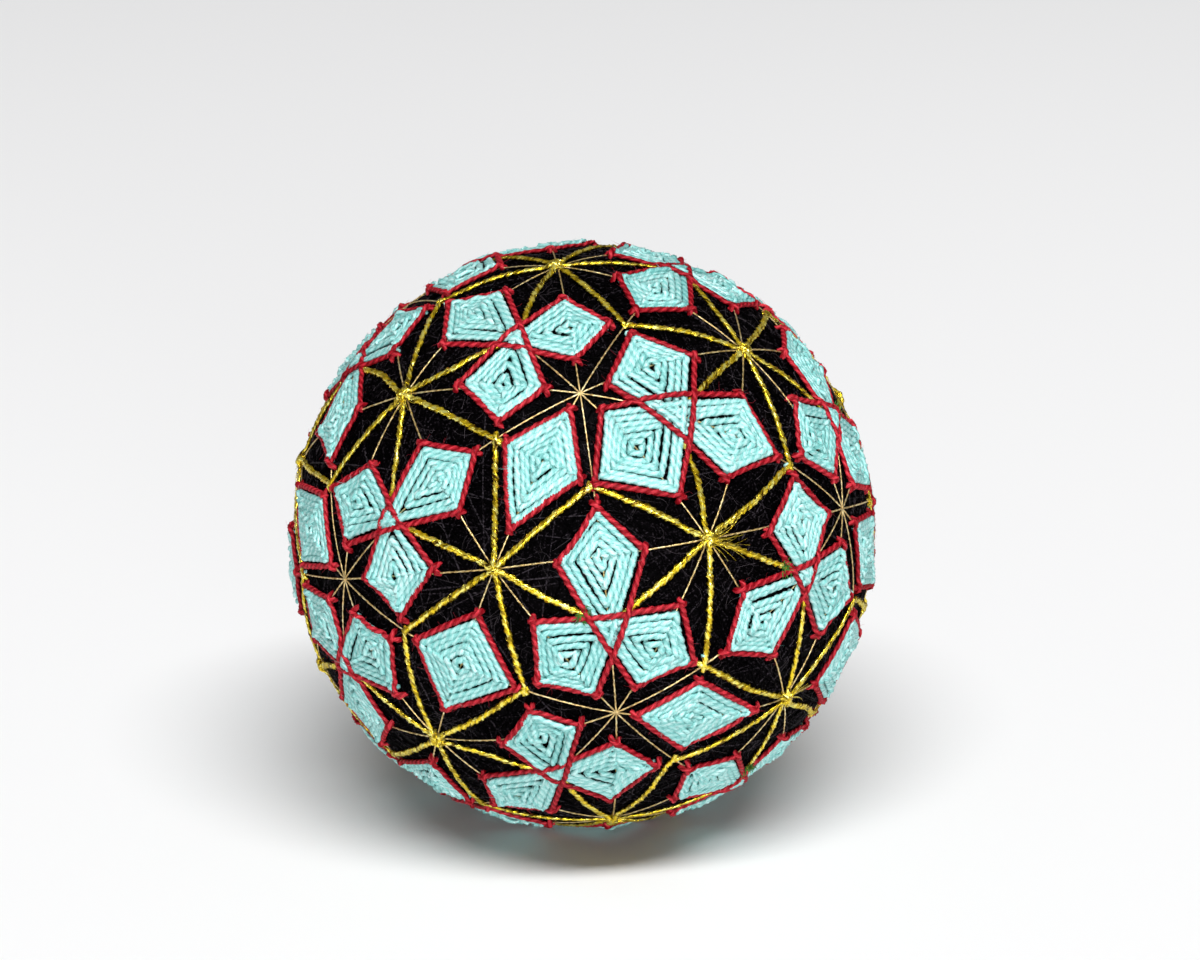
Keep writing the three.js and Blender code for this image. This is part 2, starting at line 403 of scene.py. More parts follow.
class HeightMap:
    """Heights above the wound ball on a flat grid of cells, laid out round one point."""

    def __init__(self, centre):
        self.centre = centre
        self.east = unit(np.cross(Z if abs(centre[2]) < 0.9 else X, centre))
        self.north = np.cross(centre, self.east)
        self.n = int(2 * MAP_HALF / CELL)
        self.grid = np.zeros(self.n * self.n)

    def plane(self, p):
        """Places on the grid, in mm along the ball from the map's middle."""
        x, y, z = p @ self.east, p @ self.north, p @ self.centre
        flat = np.maximum(np.hypot(x, y), 1e-9)
        arc = np.arctan2(flat, z) * BALL_RADIUS
        return np.stack([x / flat * arc, y / flat * arc], axis=-1)

    def cells(self, xy):
        ij = np.clip(((xy + MAP_HALF) / CELL).astype(int), 0, self.n - 1)
        return ij[..., 0] * self.n + ij[..., 1]

    def near(self, p):
        return p @ self.centre > math.cos((MAP_HALF - MAP_MARGIN) / BALL_RADIUS)

    def stamp(self, p, top, half_width):
        """Raises the map under threads that were laid earlier."""
        xy = self.plane(p)
        across = np.arange(-half_width, half_width + 0.01, CELL)
        for dx, dy in itertools.product(across, across):
            lump = 1 - (dx * dx + dy * dy) / (half_width + SOFT_EDGE) ** 2
            if lump > 0:
                np.maximum.at(self.grid, self.cells(xy + (dx, dy)), top * math.sqrt(lump))

    def lay(self, p, side, thickness, width):
        """Heights of a thread's middle along the points p, and the map raised by it."""
        xy = self.plane(p)
        across = (self.plane(unit(p + side * CELL / BALL_RADIUS)) - xy) / CELL
        under = self.grid[self.cells(xy)]
        under = MOST_UNDER * (1 - np.exp(-under / MOST_UNDER))
        padded = np.pad(under, WIDEN_CELLS, mode="edge")
        wide = np.max([padded[i:i + len(under)] for i in range(2 * WIDEN_CELLS + 1)], axis=0)
        bell = np.exp(-0.5 * (np.arange(-TAUT_CELLS, TAUT_CELLS + 1) / TAUT_SPREAD) ** 2)
        bell /= bell.sum()
        taut = np.convolve(np.pad(wide, TAUT_CELLS, mode="edge"), bell, mode="valid")
        core = width * CORE
        for s in np.arange(-core, core + 0.01, CELL):
            top = taut + thickness * math.sqrt(1 - (s / (core + CORE_SOFT)) ** 2)
            np.maximum.at(self.grid, self.cells(xy + across * s), top)
        return taut + thickness / 2


print("a height map has", int(2 * MAP_HALF / CELL) ** 2, "cells of", CELL, "mm")

# %% [markdown]
# ## One leg of a stitch
#
# A leg runs almost straight from corner to corner, passes a little beyond the guide line, and goes
# down into the ball. A short stitch under the guide line brings it up on the other side, where the
# next leg crosses over it. That crossing gives every corner its small ear. A closed curve through
# the corners would be simpler, but it would turn them like wire, with no ear and no dive.

# %% Work a round of stitches
THREAD_WIDTH, THREAD_HEIGHT, THREAD_TURN = 0.9, 0.64, 2.6
EAR, EDGE_EAR, EAR_VARIES = 0.45, 0.85, (0.7, 1.35)
BOW, BOW_VARIES = 0.08, 0.12
DIVE, UNDER_DEPTH, STITCH_DEEPER = 0.55, 0.45, 0.15
PINCHED, SWELLS, UNDER_GIRTH, GIRTH_VARIES = 0.8, 0.2, 0.7, 0.05
LEAST_STEPS = 6
rng = np.random.default_rng(380)


def any_phase():
    return rng.uniform(0, 6)


def leg_points(start, end, bow, before, after, spacing):
    """Points from a little before the start to a little after the end, bowed to one side."""
    arc = math.acos(float(start @ end))
    steps = max(LEAST_STEPS, int(round((arc * BALL_RADIUS + before + after) / spacing)))
    s = np.linspace(-before / BALL_RADIUS, arc + after / BALL_RADIUS, steps + 1)
    axis = unit(np.cross(start, end))
    forward = np.cross(axis, start)
    p = start[None, :] * np.cos(s)[:, None] + forward[None, :] * np.sin(s)[:, None]
    way = (s - s[0]) / (s[-1] - s[0])
    p = unit(p - axis[None, :] * (np.sin(math.pi * way) * bow / BALL_RADIUS)[:, None])
    return p, (s - s[0]) * BALL_RADIUS


def smooth_step(x):
    x = np.clip(x, 0, 1)
    return x * x * (3 - 2 * x)


def work_round(height_map, corners, ear):
    """The path of one closed round through its corners, the outward direction and the girth on it."""
    path, slim = [], []
    n = len(corners)
    for i in range(n):
        before, after = ear * rng.uniform(*EAR_VARIES, 2)
        bow = rng.normal(BOW, BOW_VARIES)
        p, run = leg_points(corners[i], corners[(i + 1) % n], bow, before, after, CELL)
        side = unit(np.cross(p, np.gradient(p, axis=0)))
        heights = height_map.lay(p, side, THREAD_HEIGHT, THREAD_WIDTH)
        rise = smooth_step(np.minimum(run, run[-1] - run) / DIVE)
        heights = -UNDER_DEPTH + (heights + UNDER_DEPTH) * rise
        keep = int(round(STEP / CELL))
        picked = np.unique(np.concatenate([np.arange(0, len(p), keep), [len(p) - 1]]))
        path.append(p[picked] * (BALL_RADIUS + heights[picked])[:, None])
        slim.append(PINCHED + SWELLS * rise[picked])
    route, girth = [], []
    for i in range(n):
        under = (path[i][-1] + path[(i + 1) % n][0]) / 2 * (1 - STITCH_DEEPER / BALL_RADIUS)
        route += [path[i], under[None, :]]
        girth += [slim[i], [UNDER_GIRTH]]
    route, girth = np.concatenate(route), np.concatenate(girth)
    return route, unit(route), girth * (1 + GIRTH_VARIES * rng.normal(size=len(girth)))


print(f"a round is {THREAD_WIDTH} mm wide and {THREAD_HEIGHT} mm high, and its plies turn once in "
      f"{THREAD_TURN} mm")

# %% [markdown]
# ## Guide threads
#
# Fine pale gold thread, wound round the ball fifteen times, marks the lines between the pins. Fifteen
# whole circles would miss the drifted pins, so each stretch runs from pin to pin, or from a pin by
# the middle of a face to the middle of its far side, with the slight waver of a line laid by hand.

# %% Lay the guide threads
GUIDE_SECTION = [(0, 0.5), (90, 0.46), (180, 0.5), (270, 0.46)]
GUIDE_WIDTH, GUIDE_HEIGHT, GUIDE_TURN = 0.27, 0.22, 4.0
GUIDE_STEP, GUIDE_ABOVE, GUIDE_WAVER = 0.8, 0.2, 0.12
guide = Skein(GUIDE_SECTION, GUIDE_WIDTH, GUIDE_HEIGHT, GUIDE_TURN)


def guide_arcs():
    """Pin to pin along the bridges, and pin to face middle to bridge middle across them."""
    arcs = [(PIN[a], PIN[b]) for a, b in itertools.combinations(NAMES, 2) if are_neighbours(a, b)]
    for a, b in itertools.product(NAMES, NAMES):
        for c in shared_neighbours(a, b) if are_neighbours(a, b) else []:
            if b < c:
                face = middle(PIN[a], PIN[b], PIN[c])
                arcs += [(PIN[a], face), (face, middle(PIN[b], PIN[c]))]
    return arcs


guide_places = []
for start, end in guide_arcs():
    length = math.radians(arc_between(start, end)) * BALL_RADIUS
    way = np.linspace(0, 1, max(4, int(length / GUIDE_STEP)) + 1)
    side_step = rng.normal(0, GUIDE_WAVER) * np.sin(math.pi * way)
    axis = unit(np.cross(start, end))
    p = unit(along_arc(start, end, way) + axis * (side_step / BALL_RADIUS)[:, None])
    guide.add(p * (BALL_RADIUS + GUIDE_ABOVE), p, phase=any_phase())
    guide_places.append(along_arc(start, end, np.linspace(0, 1, int(length / CELL))))
guide_places = np.concatenate(guide_places)
print("guide thread:", len(guide.rings), "arcs")

# %% [markdown]
# ## Gold thread
#
# The stars are a thicker braid, metal film wrapped round a thread. It is stiffer than cotton, so it
# sways and quivers a little on its way instead of lying dead straight, and it swells and thins. A
# straight line with a bump would do from afar. Close up, the wandering edge is what shows the metal.

# %% Lay one length of gold
THREE_PLY = [(0, 0.5), (60, 0.36), (120, 0.5), (180, 0.36), (240, 0.5), (300, 0.36)]
GOLD_WIDTH, GOLD_HEIGHT, GOLD_TURN = 0.9, 0.54, 3.1
SWAY, RIPPLE, QUIVER, QUIVER_WAVE = 0.22, 0.1, 0.05, (2.5, 4)
GOLD_DIVE, GOLD_UNDER = 0.45, 0.35
GOLD_KEEPS = 4  # every fourth point of its path is enough for a braid
GOLD_VARIES = 0.1
gold = Skein(THREE_PLY, GOLD_WIDTH, GOLD_HEIGHT, GOLD_TURN)
gold_places = []


def gold_line(star_map, start, end, before, after, lift=0.0):
    """Gold from a little before the start to a little past the end, in and out of the ground."""
    arc = math.radians(arc_between(start, end))
    axis = unit(np.cross(start, end))
    forward = np.cross(axis, start)
    s = np.arange(-before / BALL_RADIUS, arc + after / BALL_RADIUS, CELL / BALL_RADIUS)
    p = start * np.cos(s)[:, None] + forward * np.sin(s)[:, None]
    way = (s - s[0]) / (s[-1] - s[0])
    sway = rng.normal(0, SWAY) * np.sin(math.pi * way) + rng.normal(0, RIPPLE) * np.sin(3 * math.pi * way)
    sway += QUIVER * np.sin(s * BALL_RADIUS * 2 * math.pi / rng.uniform(*QUIVER_WAVE) + any_phase())
    p = unit(p + axis * (sway / BALL_RADIUS)[:, None])
    side = unit(np.cross(p, np.gradient(p, axis=0)))
    heights = star_map.lay(p, side, GOLD_HEIGHT, GOLD_WIDTH) + lift
    run = (s - s[0]) * BALL_RADIUS
    rise = smooth_step(np.minimum(run, run[-1] - run) / GOLD_DIVE)
    heights = -GOLD_UNDER + (heights + GOLD_UNDER) * rise
    keep = slice(None, None, GOLD_KEEPS)
    fat = 1 + rng.normal(0, GOLD_VARIES, len(p[keep]))
    gold.add(p[keep] * (BALL_RADIUS + heights[keep])[:, None], p[keep], phase=any_phase(), slim=fat)
    gold_places.append(p)


print(f"gold braid: {GOLD_WIDTH} mm wide, {GOLD_HEIGHT} mm high")

# %% [markdown]
# ## Gold stars
#
# From every point where three guide lines cross, six gold rays run out to the vertices. They cross at
# the middle under two or three tacking stitches, and end in a small catch stitch at each vertex, or
# just short of a trefoil. One star could be copied twenty times, but the maker lays the rays in no
# fixed order, so each star is laid afresh on its own height map.

# %% Lay the gold stars
RAY_TAIL = 0.9  # how far a ray starts behind the middle
SHORT_OF_TREFOIL, CATCH = -1.2, (0.2, 1.3)
TACKS, TACK_HALF, TACK_ENDS, TACK_LIFT = (2, 4), (1.1, 1.8), 0.1, 0.05
GUIDE_UNDER_GOLD, GUIDE_HALF = 0.25, 0.12

faces = [(a, b, c) for a, b, c in itertools.combinations(NAMES, 3)
         if are_neighbours(a, b) and are_neighbours(a, c) and are_neighbours(b, c)]
for a, b, c in faces:
    face = middle(PIN[a], PIN[b], PIN[c])
    star_map = HeightMap(face)
    star_map.stamp(guide_places[star_map.near(guide_places)], GUIDE_UNDER_GOLD, GUIDE_HALF)
    rays = [(a, b), (b, a), (b, c), (c, b), (c, a), (a, c)]
    for k in rng.permutation(len(rays)):
        after = SHORT_OF_TREFOIL if is_trefoil(*rays[k]) else rng.uniform(*CATCH)
        gold_line(star_map, face, vertex(*rays[k]), RAY_TAIL, after)
    for _ in range(rng.integers(*TACKS)):
        towards = turn(unit(np.cross(face, X)), face, rng.uniform(0, 360))
        half = rng.uniform(*TACK_HALF)
        gold_line(star_map, step(face, towards, half), step(face, -towards, half),
                  TACK_ENDS, TACK_ENDS, lift=TACK_LIFT)
gold_places = np.concatenate(gold_places)
print(len(faces), "gold stars,", round(gold.length / 1000, 2), "m of gold thread")

# %% [markdown]
# ## The corners of a round
#
# Every diamond starts as a small stitched square round its middle and grows outward, round by round.
# A bigger diamond takes more rounds, since the thread stays as wide as it is. In a trefoil the long
# legs have to pass the shared middle at a set distance, or the small triangle there would close up.
# The corners could be placed by hand. Moving both ends of a long leg until it clears the middle keeps
# every triangle open, however far the pins have drifted.

# %% Find the corners
ROW_PITCH = 0.77
LOBE_ROUNDS = (4, 6)
PAST_HUB = 5.0  # degrees: the inner corner of a lobe lies past the shared middle


def round_share(k, first, aqua_rounds):
    """Round k's share of the full reach, which the crimson round has."""
    return (k - 1 + first) / (aqua_rounds + first)


def lobe_corners(d, hub):
    """Directions and reaches in anticlockwise order: inner end, right face, tip, left face."""
    order = [(d["ends"][0], d["reach"][0]), (d["faces"][0], d["reach"][1]),
             (d["ends"][1], d["reach"][2]), (d["faces"][1], d["reach"][3])]
    turn_way = np.cross(order[0][0] - d["centre"], order[1][0] - d["centre"]) @ d["centre"]
    if turn_way < 0:
        order = [order[0], order[3], order[2], order[1]]
    if hub is not None:
        inner = min((0, 2), key=lambda i: np.linalg.norm(order[i][0] - hub))
        order = order[inner:] + order[:inner]
        order[0] = (hub, arc_between(d["centre"], hub) + PAST_HUB)
    return order


def pass_the_hub(start, end, hub, third, clearance):
    """The ends of a long leg, moved so that it passes the hub on the third diamond's side."""
    axis = unit(np.cross(start, end))
    away = axis * math.copysign(1, axis @ third)
    move = clearance / BALL_RADIUS + away @ hub
    return unit(start + away * move), unit(end + away * move)


def rounds_to_fill(centre, corners, pushes, first):
    """How many rounds cover a diamond without bare gaps, from how far its legs lie from the middle."""
    last = [unit(step(centre, *corner) + push) for corner, push in zip(corners, pushes)]
    away = [BALL_RADIUS * abs(unit(np.cross(last[i], last[(i + 1) % 4])) @ centre) for i in range(4)]
    return int(np.clip(round(np.mean(sorted(away)[1:]) / ROW_PITCH - first), *LOBE_ROUNDS))


print("a lobe takes", LOBE_ROUNDS[0], "to", LOBE_ROUNDS[1], "rounds,", ROW_PITCH, "mm apart")

# %% [markdown]
# ## Aqua rounds and a crimson one
#
# A single diamond is six aqua rounds and a crimson one. A trefoil's diamonds are separate at first.
# In the last aqua round and in the crimson one a single thread runs from diamond to diamond across
# the middle, so three long lines cross round a triangle. One finished trefoil could be copied to the
# other places. Each is stitched on its own height map instead, since no two have quite the same
# corners, and the threads cross in a different order on each.

# %% Stitch the motifs
SINGLE_ROUNDS = 6
FIRST_ROUND, FIRST_VARIES = 0.75, (0.75, 1.3)
CORNER_VARIES = 0.028
HUB_CLEARANCE = (1.1, 1.4)
WIDER_HUBS = {"trefoil_N_A1": 0.7, "trefoil_A0_N": 0.2, "trefoil_A4_N": -0.1}
ROW = 0.9  # the crossing aqua thread lies this far inside the crimson one
EDGE_SLIMMER = 0.92
GUIDE_UNDER, GOLD_UNDERNEATH, GOLD_HALF = 0.2, 0.4, 0.25
SIDES = ((0, 1, 2), (1, 2, 0), (2, 0, 1))  # a long leg's lobe, the next lobe, and the one it passes


def bearing_on(board, p):
    x, y = board.plane(p[None, :])[0]
    return math.atan2(y, x)


def hub_pushes(m, lobes, centres, clearances):
    """How far each lobe's side corners move, so that the long legs clear the hub."""
    pushes = [[0, 0, 0, 0] for _ in lobes]
    for this, after, third in SIDES:
        ends = [step(centres[this], *lobes[this][1]), step(centres[after], *lobes[after][3])]
        moved = pass_the_hub(*ends, m["hub"], centres[third], clearances[this])
        pushes[this][1], pushes[after][3] = moved[0] - ends[0], moved[1] - ends[1]
    return pushes


def stitch_motif(m):
    """The aqua and the crimson strands of one motif."""
    aqua = Skein(TWO_PLY, THREAD_WIDTH, THREAD_HEIGHT, THREAD_TURN)
    crimson = Skein(TWO_PLY, EDGE_SLIMMER * THREAD_WIDTH, THREAD_HEIGHT, THREAD_TURN)
    board = HeightMap(m["hub"])
    board.stamp(guide_places[board.near(guide_places)], GUIDE_UNDER, GUIDE_HALF)
    board.stamp(gold_places[board.near(gold_places)], GOLD_UNDERNEATH, GOLD_HALF)
    trefoil = len(m["lobes"]) == 3
    in_order = sorted(m["lobes"], key=lambda d: bearing_on(board, d["centre"]))
    centres = [d["centre"] for d in in_order]
    lobes = [lobe_corners(d, m["hub"] if trefoil else None) for d in in_order]
    firsts = [FIRST_ROUND * rng.uniform(*FIRST_VARIES) for _ in lobes]
    rounds, pushes = [SINGLE_ROUNDS], [[0, 0, 0, 0]]
    if trefoil:
        clearances = rng.uniform(*HUB_CLEARANCE, 3) + WIDER_HUBS.get(m["node"], 0)
        pushes = hub_pushes(m, lobes, centres, clearances)
        rounds = [rounds_to_fill(*lobe) for lobe in zip(centres, lobes, pushes, firsts)]

    def corner(lobe, i, k):
        """Where round k of a lobe turns its corner i."""
        towards, reach = lobes[lobe][i]
        part = round_share(k, firsts[lobe], rounds[lobe]) * (1 + rng.normal(0, CORNER_VARIES))
        return unit(step(centres[lobe], towards, reach * part) + pushes[lobe][i] * part)

    def stitch(thread, corners):
        path, out, girth = work_round(board, corners, EDGE_EAR if thread is crimson else EAR)
        thread.add(path, out, phase=any_phase(), tint=rng.normal(0, 1), slim=girth)

    for lobe, aqua_rounds in enumerate(rounds):
        last_round = aqua_rounds - 1 if trefoil else aqua_rounds + 1
        for k in range(1, last_round + 1):
            start = rng.integers(0, 4)
            corners = [corner(lobe, (i + start) % 4, k) for i in range(4)]
            stitch(crimson if k > aqua_rounds else aqua, corners)
    if trefoil:
        for k, thread in ((0, aqua), (1, crimson)):
            corners = []
            for this, after, third in SIDES:
                ends = corner(this, 1, rounds[this] + k), corner(after, 3, rounds[after] + k)
                clearance = clearances[this] - ROW * (1 - k)
                long_leg = pass_the_hub(*ends, m["hub"], centres[third], clearance)
                corners += [corner(this, 2, rounds[this] + k), *long_leg]
            stitch(thread, corners)
    return aqua, crimson


stitched = [(m["node"], *stitch_motif(m)) for m in motifs]
print("pearl cotton:", round(sum(a.length + c.length for _, a, c in stitched) / 1000, 1), "m")
print("rings:", sum(sum(a.rings) + sum(c.rings) for _, a, c in stitched))

# %% [markdown]
# ## The wound ground
#
# Under everything the ball is wound with black sewing thread, turn after turn in every direction. A
# bump on a black sphere would give the same colour, but not the single turns that catch the light.
# Only the turns between the motifs show, so each one is cut where a motif covers it, which keeps the
# mesh small.

# %% Leave out what a motif covers
COVERS_WITHIN = 18  # degrees from a diamond's middle
COVERED_SHARE = 0.93


def diamond_outline(d, east, north):
    """Corners of the covered part of a diamond, seen flat."""
    towards = [d["ends"][0], d["faces"][0], d["ends"][1], d["faces"][1]]
    corners = [step(d["centre"], t, reach * COVERED_SHARE) for t, reach in zip(towards, d["reach"])]
    return [(q @ east, q @ north) for q in corners]


def hidden_by_motif(p):
    """True where a motif's crimson edge encloses the point."""
    hidden = np.zeros(len(p), bool)
    for d in [d for m in motifs for d in m["lobes"]]:
        east = unit(d["ends"][0] - d["ends"][1])
        north = np.cross(d["centre"], east)
        close = p @ d["centre"] > math.cos(math.radians(COVERS_WITHIN))
        x, y = p[close] @ east, p[close] @ north
        corners = diamond_outline(d, east, north)
        edges = list(zip(corners, corners[1:] + corners[:1]))
        area = sum(x0 * y1 - x1 * y0 for (x0, y0), (x1, y1) in edges)
        inside = np.ones(len(x), bool)
        for (x0, y0), (x1, y1) in edges:
            inside &= ((x1 - x0) * (y - y0) - (y1 - y0) * (x - x0)) * np.sign(area) > 0
        hidden[np.flatnonzero(close)[inside]] = True
    return hidden


pins_covered = hidden_by_motif(np.array([PIN[n] for n in NAMES]))
print("pins covered by a motif:", int(pins_covered.sum()))

# %% [markdown]
# ## Turn after turn
#
# The winding machine of a temari maker is the hand: the thread goes round and round while the ball
# turns a little each time. Each turn here is a circle in a random direction, slightly off centre and
# slightly bent, so that the turns cross at all angles. A spiral would be truer to one long thread,
# but it would show bands.

# %% Wind the ground
WINDINGS, WINDING_STEP = 400, 3.2
WINDING_WIDTH, WINDING_HEIGHT, DEEPEST = 0.3, 0.26, -0.16
BEND, OFF_CENTRE = 0.02, 0.15
THREE_SIDED = [(90, 0.5), (210, 0.5), (330, 0.5)]
ground = Skein(THREE_SIDED, WINDING_WIDTH, WINDING_HEIGHT, NO_TWIST)


def winding():
    """Points of one turn round the ball, and how deep it lies."""
    axis = unit(rng.normal(size=3))
    start = unit(np.cross(axis, X if abs(axis[0]) < 0.9 else Y))
    side = np.cross(axis, start)
    s = np.linspace(0, 2 * math.pi, int(2 * math.pi * BALL_RADIUS / WINDING_STEP) + 1)
    tilt = BEND * np.sin(s + any_phase()) + rng.normal(0, OFF_CENTRE)
    p = unit(start * np.cos(s)[:, None] + side * np.sin(s)[:, None] + axis * tilt[:, None])
    return p, rng.uniform(DEEPEST, 0.0)


turns = [winding() for _ in range(WINDINGS)]
covered = hidden_by_motif(np.concatenate([p for p, _ in turns]))
for (p, depth), hidden in zip(turns, np.split(covered, WINDINGS)):
    edges = np.flatnonzero(np.diff(np.concatenate([[0], (~hidden).astype(int), [0]])))
    for first, last in zip(edges[::2], edges[1::2]):
        part = p[max(0, first - 1):min(len(p), last + 1)]
        if len(part) >= 3:
            ground.add(part * (BALL_RADIUS + depth), part, tint=rng.normal(0, 1))
print("ground windings:", len(ground.rings), "lengths,", sum(ground.rings), "rings")

# %% [markdown]
# ## A single fibre
#
# Handwork sheds. Fibres stand off the thread, lint settles on the ground, and cut ends fray. Blender's
# hair system could grow them, but hair is a render effect and doesn't stay in an exported mesh. So a
# fibre is one more strand, three-sided, tapered, and curled over the ball.

# %% Lay a fibre
FIBRE_TIP = 0.35
FIBRE_RISE = 1.3


def hair_skein(width):
    return Skein(THREE_SIDED, width, width, NO_TWIST)


def lay_hair(skein, start, bearing, length, curl, low, high, points=7):
    """A curved fibre over the ball from a point, in a bearing, standing low to high mm above it."""
    east = unit(np.cross(Z if abs(start[2]) < 0.9 else X, start))
    north = np.cross(start, east)
    s = np.linspace(0, length, points)
    turn_by = bearing + curl * s / max(length, 1e-6)
    ds = np.diff(s, prepend=0)
    x, y = np.cumsum(np.cos(turn_by) * ds), np.cumsum(np.sin(turn_by) * ds)
    p = unit(start + (east * x[:, None] + north * y[:, None]) / BALL_RADIUS)
    height = low + (high - low) * np.linspace(0, 1, points) ** FIBRE_RISE
    taper = np.linspace(1.0, FIBRE_TIP, points)
    skein.add(p * (BALL_RADIUS + height)[:, None], p, phase=any_phase(), tint=rng.normal(0, 1), slim=taper)


def any_bearing():
    return rng.uniform(0, 2 * math.pi)


print("a fibre tapers to", FIBRE_TIP, "of its girth")

# %% [markdown]
# ## Fuzz on the pearl cotton
#
# Soft cotton has a halo of short fibres, and the dark red shows them most. A sheen in the finish
# lightens the edges of the ball, but it can't cross from one thread to the next as real fibres do.
# The fibres start at random rings of the stitched strands, so they are thickest where most thread is.

# %% Raise the fuzz
FUZZ_WIDTH = 0.035
AQUA_FUZZ, CRIMSON_FUZZ = (150, 1.3), (400, 1.5)  # fibres in a metre of thread, longest fibre
SHORTEST_FUZZ, FUZZ_CURL = 0.5, 1.2
FUZZ_START, FUZZ_RISE = 0.2, (0.25, 0.75)
BELOW_THE_TOP = 0.15  # rings lower than this are inside the ball


def fuzz_of(skeins, per_metre, longest):
    fuzz = hair_skein(FUZZ_WIDTH)
    for skein in skeins:
        for points, rings in zip(skein.points, skein.rings):
            centre_line = points.reshape(rings, -1, 3).mean(axis=1)
            run = np.linalg.norm(np.diff(centre_line, axis=0), axis=1).sum()
            for _ in range(rng.poisson(run / 1000 * per_metre)):
                at = centre_line[rng.integers(rings)]
                height = np.linalg.norm(at) - BALL_RADIUS
                if height < BELOW_THE_TOP:
                    continue
                lay_hair(fuzz, unit(at), any_bearing(), rng.uniform(SHORTEST_FUZZ, longest),
                         rng.normal(0, FUZZ_CURL), height + FUZZ_START,
                         height + rng.uniform(*FUZZ_RISE), points=4)
    return fuzz


aqua_fuzz = fuzz_of([a for _, a, _ in stitched], *AQUA_FUZZ)
crimson_fuzz = fuzz_of([c for _, _, c in stitched], *CRIMSON_FUZZ)
print("fuzz:", len(aqua_fuzz.rings), "aqua and", len(crimson_fuzz.rings), "crimson fibres")

# %% [markdown]
# ## Lint on the ground
#
# The black ground is never clean: fine grey fibres lie on it every way, and their grey is partly a
# painted sheen, standing in for the light that fuzz on black thread catches. Specks in the finish
# would be flat, so the lint is laid as fibres too, low on the ball and evenly over it.

# %% Scatter the lint
LINT, LINT_WIDTH = 2800, 0.035
LINT_LENGTH, LINT_CURL, LINT_LOW, LINT_RISE = (0.8, 3.5), 1.5, 0.05, (0.1, 0.4)

lint = hair_skein(LINT_WIDTH)
for _ in range(LINT):
    lay_hair(lint, unit(rng.normal(size=3)), any_bearing(), rng.uniform(*LINT_LENGTH),
             rng.normal(0, LINT_CURL), LINT_LOW, rng.uniform(*LINT_RISE), points=5)
print("lint:", len(lint.rings), "fibres")

# %% [markdown]
# ## Green tufts
#
# A few motifs were tacked with green thread while they were worked, and its cut ends are left beside
# their corners. Each tuft is a tight cluster of fibres: a ball of felt would read as a solid lump.

# %% Leave the green tufts
TUFT_FIBRES, TUFT_WIDTH, TUFT_FROM_VERTEX, TUFT_SPREAD = 40, 0.22, 5.2, 0.007
TUFT_LENGTH, TUFT_CURL, TUFT_LOW, TUFT_RISE = (0.5, 1.3), 1.5, 0.2, (0.4, 1.1)
TUFTS = (("A0", "N", "A4"), ("A1", "A0", "N"), ("A1", "A2", "B1"), ("B0", "A0", "A1"), ("B2", "A3", "B3"))

green = hair_skein(TUFT_WIDTH)
for a, b, c in TUFTS:
    tuft = step(vertex(a, b), middle(PIN[a], PIN[b], PIN[c]), TUFT_FROM_VERTEX)
    for _ in range(TUFT_FIBRES):
        lay_hair(green, unit(tuft + rng.normal(0, TUFT_SPREAD, 3)), any_bearing(),
                 rng.uniform(*TUFT_LENGTH), rng.normal(0, TUFT_CURL), TUFT_LOW, rng.uniform(*TUFT_RISE))
print("green tufts:", len(TUFTS))

# %% [markdown]
# ## Frayed gold ends
#
# Where a gold thread was cut, its film splits into a brush that lies beside the star. The brushes
# could point anywhere, but a maker pulls the ends one way, so each has a direction of its own with
# only a little scatter.

# %% Fray the gold
FRAY_WIDTH, FRAY_SPREAD, FRAY_SCATTER, FRAY_SHORTEST = 0.14, 0.008, 0.28, 1.2
FRAY_CURL, FRAY_LOW, FRAY_RISE = 0.6, 0.5, (0.4, 1.1)
FRAYS = (  # the star, how many hairs, how far they reach past the shortest, which way in radians
    (("N", "A3", "A4"), 14, 1.8, -1.0), (("N", "A0", "A1"), 22, 4.0, -0.35),
    (("A0", "B0", "B4"), 20, 2.0, 0.1), (("A1", "A0", "B0"), 8, 2.5, 0.4),
    (("A3", "A4", "B3"), 10, 2.5, -0.8), (("S", "B1", "B2"), 10, 2.5, 0.6),
)

frayed = hair_skein(FRAY_WIDTH)
for names, hairs, reach, lean in FRAYS:
    star = middle(*(PIN[n] for n in names))
    for _ in range(hairs):
        lay_hair(frayed, unit(star + rng.normal(0, FRAY_SPREAD, 3)), lean + rng.normal(0, FRAY_SCATTER),
                 rng.uniform(FRAY_SHORTEST, 1.6 + reach), rng.normal(0, FRAY_CURL), FRAY_LOW,
                 rng.uniform(*FRAY_RISE))
print("frayed gold:", len(frayed.rings), "hairs")

# %% [markdown]
# ## Lock stitches
#
# A thread is locked with a tiny stitch when it starts or ends, and a few of these peep out beside the
# corners. A dot of colour would be enough from afar. A short arched strand, in and out of the ground,
# stays a stitch close up.

# %% Lock the threads
LOCK_WIDTH, LOCK_HEIGHT, LOCK_CHANCE, CRIMSON_CHANCE = 0.6, 0.45, 0.28, 0.4
LOCK_ASIDE, LOCK_AHEAD, LOCK_POINTS = 0.018, 0.014, 6
LOCK_BELOW, LOCK_ARCH = -0.3, 0.6

specks = {n: Skein(TWO_PLY, LOCK_WIDTH, LOCK_HEIGHT, THREAD_TURN) for n in ("aqua", "crimson")}
for end in [end for m in motifs for d in m["lobes"] for end in d["ends"]]:
    if rng.random() < LOCK_CHANCE:
        which = "crimson" if rng.random() < CRIMSON_CHANCE else "aqua"
        spot = unit(end + rng.normal(0, LOCK_ASIDE, 3))
        ahead = unit(spot + rng.normal(0, LOCK_AHEAD, 3))
        way = np.linspace(0, 1, LOCK_POINTS)
        p = unit(spot * (1 - way)[:, None] + ahead * way[:, None])
        height = LOCK_BELOW + LOCK_ARCH * np.sin(math.pi * way)
        specks[which].add(p * (BALL_RADIUS + height)[:, None], p, phase=any_phase())
print("lock stitches:", {name: len(skein.rings) for name, skein in specks.items()})

